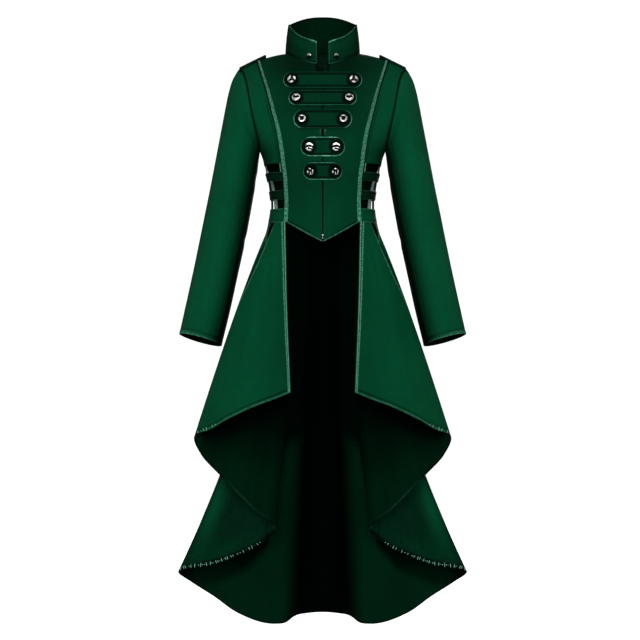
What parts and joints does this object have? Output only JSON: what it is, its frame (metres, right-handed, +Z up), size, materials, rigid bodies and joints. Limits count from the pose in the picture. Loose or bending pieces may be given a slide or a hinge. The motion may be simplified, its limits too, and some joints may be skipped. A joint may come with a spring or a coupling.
{
  "type": "tailcoat",
  "caption": "Worn women's tailcoat with a stand collar, button tabs down the front, strapped side openings, long sleeves and a high-low skirt.",
  "frame": {"origin": "between the shoulders, on the vertical centre plane, 13 mm below the neck's side point, where the wearer's shoulders hold the coat up", "axes": "+Z up along the wearer, front faces -Y, +X to the right as seen from the front"},
  "size_m": [0.6536, 0.4296, 1.3925],
  "materials": {
    "cloth": "dark emerald, soft satin",
    "trim": "paler emerald, satin",
    "dark_cloth": "black, matt",
    "metal": "polished, silver"
  },
  "bodies": {
    "root": {"front_left": "cloth", "front_right": "cloth", "side_front_left": "cloth", "side_front_right": "cloth", "side_back_left": "cloth", "side_back_right": "cloth", "back_left": "cloth", "back_right": "cloth", "strap_upper_left": "cloth", "strap_upper_right": "cloth", "strap_lower_left": "cloth", "strap_lower_right": "cloth", "belt_left": "cloth", "belt_right": "cloth", "band_left": "trim", "band_right": "trim", "collar_left": "cloth", "collar_right": "cloth", "sleeve_upper_left": "cloth", "sleeve_upper_right": "cloth", "sleeve_under_left": "cloth", "sleeve_under_right": "cloth", "skirt_front_left": "cloth", "skirt_front_right": "cloth", "skirt_side_left": "cloth", "skirt_side_right": "cloth", "skirt_back_left": "cloth", "skirt_back_right": "cloth", "skirt_band_left": "trim", "skirt_band_right": "trim", "shoulder_strap_left": "dark_cloth", "shoulder_strap_right": "dark_cloth", "collar_stud_left": "metal", "collar_stud_right": "metal", "button_1_left": "metal", "button_1_right": "metal", "button_2_left": "metal", "button_2_right": "metal", "button_3_left": "metal", "button_3_right": "metal", "button_4_left": "metal", "button_4_right": "metal", "button_5_left": "metal", "button_5_right": "metal", "tab_1": "cloth", "tab_2": "cloth", "tab_3": "cloth", "tab_4": "cloth", "tab_5": "cloth", "zip_end": "metal"}
  },
  "joints": []
}
